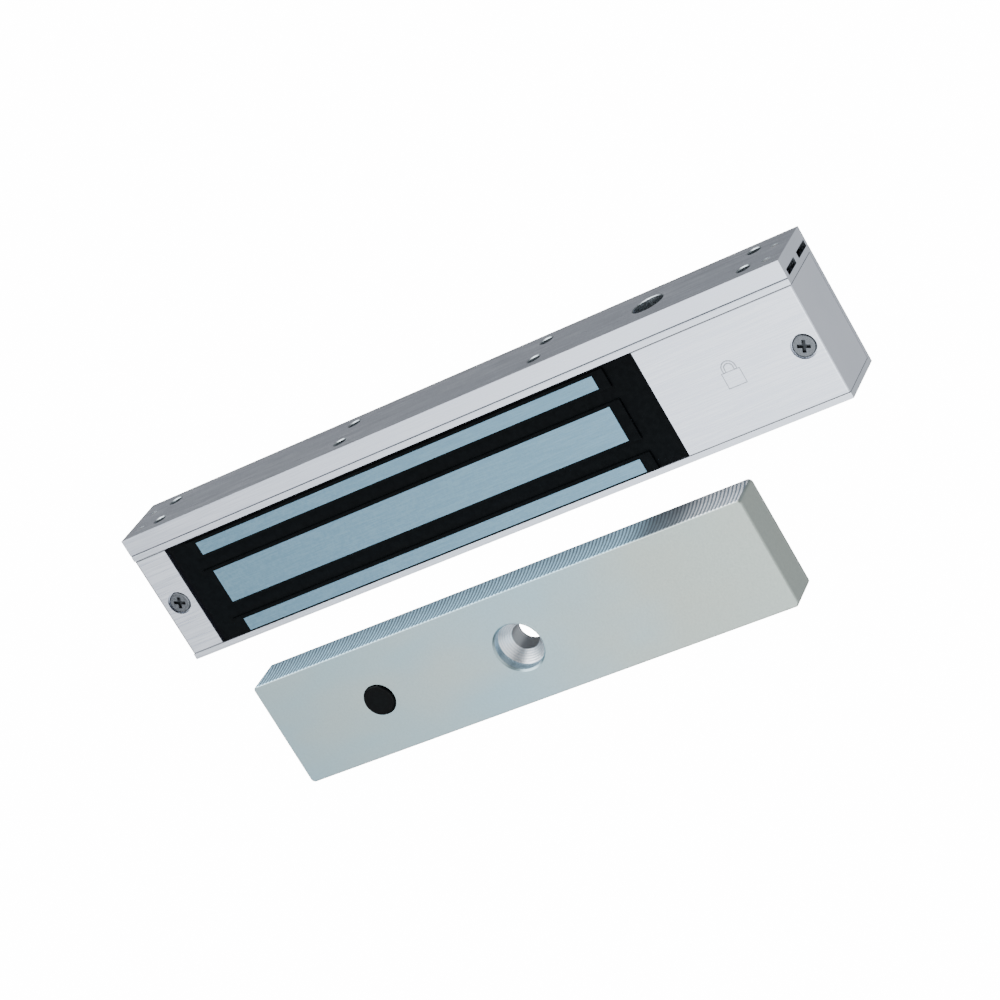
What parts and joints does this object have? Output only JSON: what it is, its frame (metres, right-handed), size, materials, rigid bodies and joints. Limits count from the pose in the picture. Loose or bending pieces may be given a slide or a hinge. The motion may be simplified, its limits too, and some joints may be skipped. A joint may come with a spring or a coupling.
{
  "type": "magnetic door lock",
  "caption": "Surface-mounted electromagnetic door lock: an aluminium channel with an E-core magnet under a mounting plate, and a steel armature plate with a release button.",
  "frame": {"origin": "centre of the mounting plate's top face, which goes against the door frame's header", "axes": "+Z out of the mounting plate's top face, +X along the lock towards the wiring compartment, -Y out of the pole faces"},
  "size_m": [0.25, 0.0433, 0.0963],
  "materials": {
    "plate_aluminium": "matte anodised",
    "housing_aluminium": "brushed, anodised",
    "cover_aluminium": "brushed, anodised",
    "screw_steel": "plain steel",
    "post_brass": "turned",
    "core_steel": "ground, thinly zinc plated",
    "bobbin_plastic": "moulded",
    "winding_copper": "enamelled copper",
    "insulation": "film",
    "lead_red": "PVC",
    "lead_black": "PVC",
    "potting_black": "cast resin",
    "board_green": "solder mask",
    "terminal_green": "moulded",
    "varistor_blue": "dipped",
    "diode_black": "moulded",
    "armature_zinc": "zinc plated",
    "button_black": "moulded",
    "spring_steel": "drawn wire"
  },
  "bodies": {
    "magnet_body": {"mounting_plate": "plate_aluminium", "housing_channel": "housing_aluminium", "body_bolts": "screw_steel", "body_bolt_washers": "screw_steel", "left_cover": "cover_aluminium", "right_cover": "cover_aluminium", "left_cover_screw": "screw_steel", "right_cover_screw": "screw_steel", "left_screw_post": "post_brass", "right_screw_post": "post_brass", "magnet_core": "core_steel", "coil_bobbin": "bobbin_plastic", "coil_winding": "winding_copper", "insulation_sheet": "insulation", "coil_lead_positive": "lead_red", "coil_lead_negative": "lead_black", "potting_resin": "potting_black", "circuit_board": "board_green", "board_standoffs": "post_brass", "board_screws": "screw_steel", "terminal_block": "terminal_green", "terminal_screws": "screw_steel", "surge_varistor": "varistor_blue", "protection_diode": "diode_black", "jumper_header": "diode_black", "voltage_jumper": "lead_black"},
    "armature": {"armature_plate": "armature_zinc", "release_spring": "spring_steel", "spring_plug": "spring_steel"},
    "button": {"release_button": "button_black"}
  },
  "joints": [
    {"name": "armature_swing", "type": "hinge", "parent": "magnet_body", "child": "armature", "pos_m": [0, -0.02185, -0.05228], "axis": [-1, 0, 0], "range_deg": [0, 180]},
    {"name": "release_button_press", "type": "slide", "parent": "armature", "child": "button", "axis": [0, 1, 0], "range_m": [0, 0.001], "stiffness_N_per_m": 400, "springref_m": -0.001, "deforming": ["release_spring"]}
  ]
}
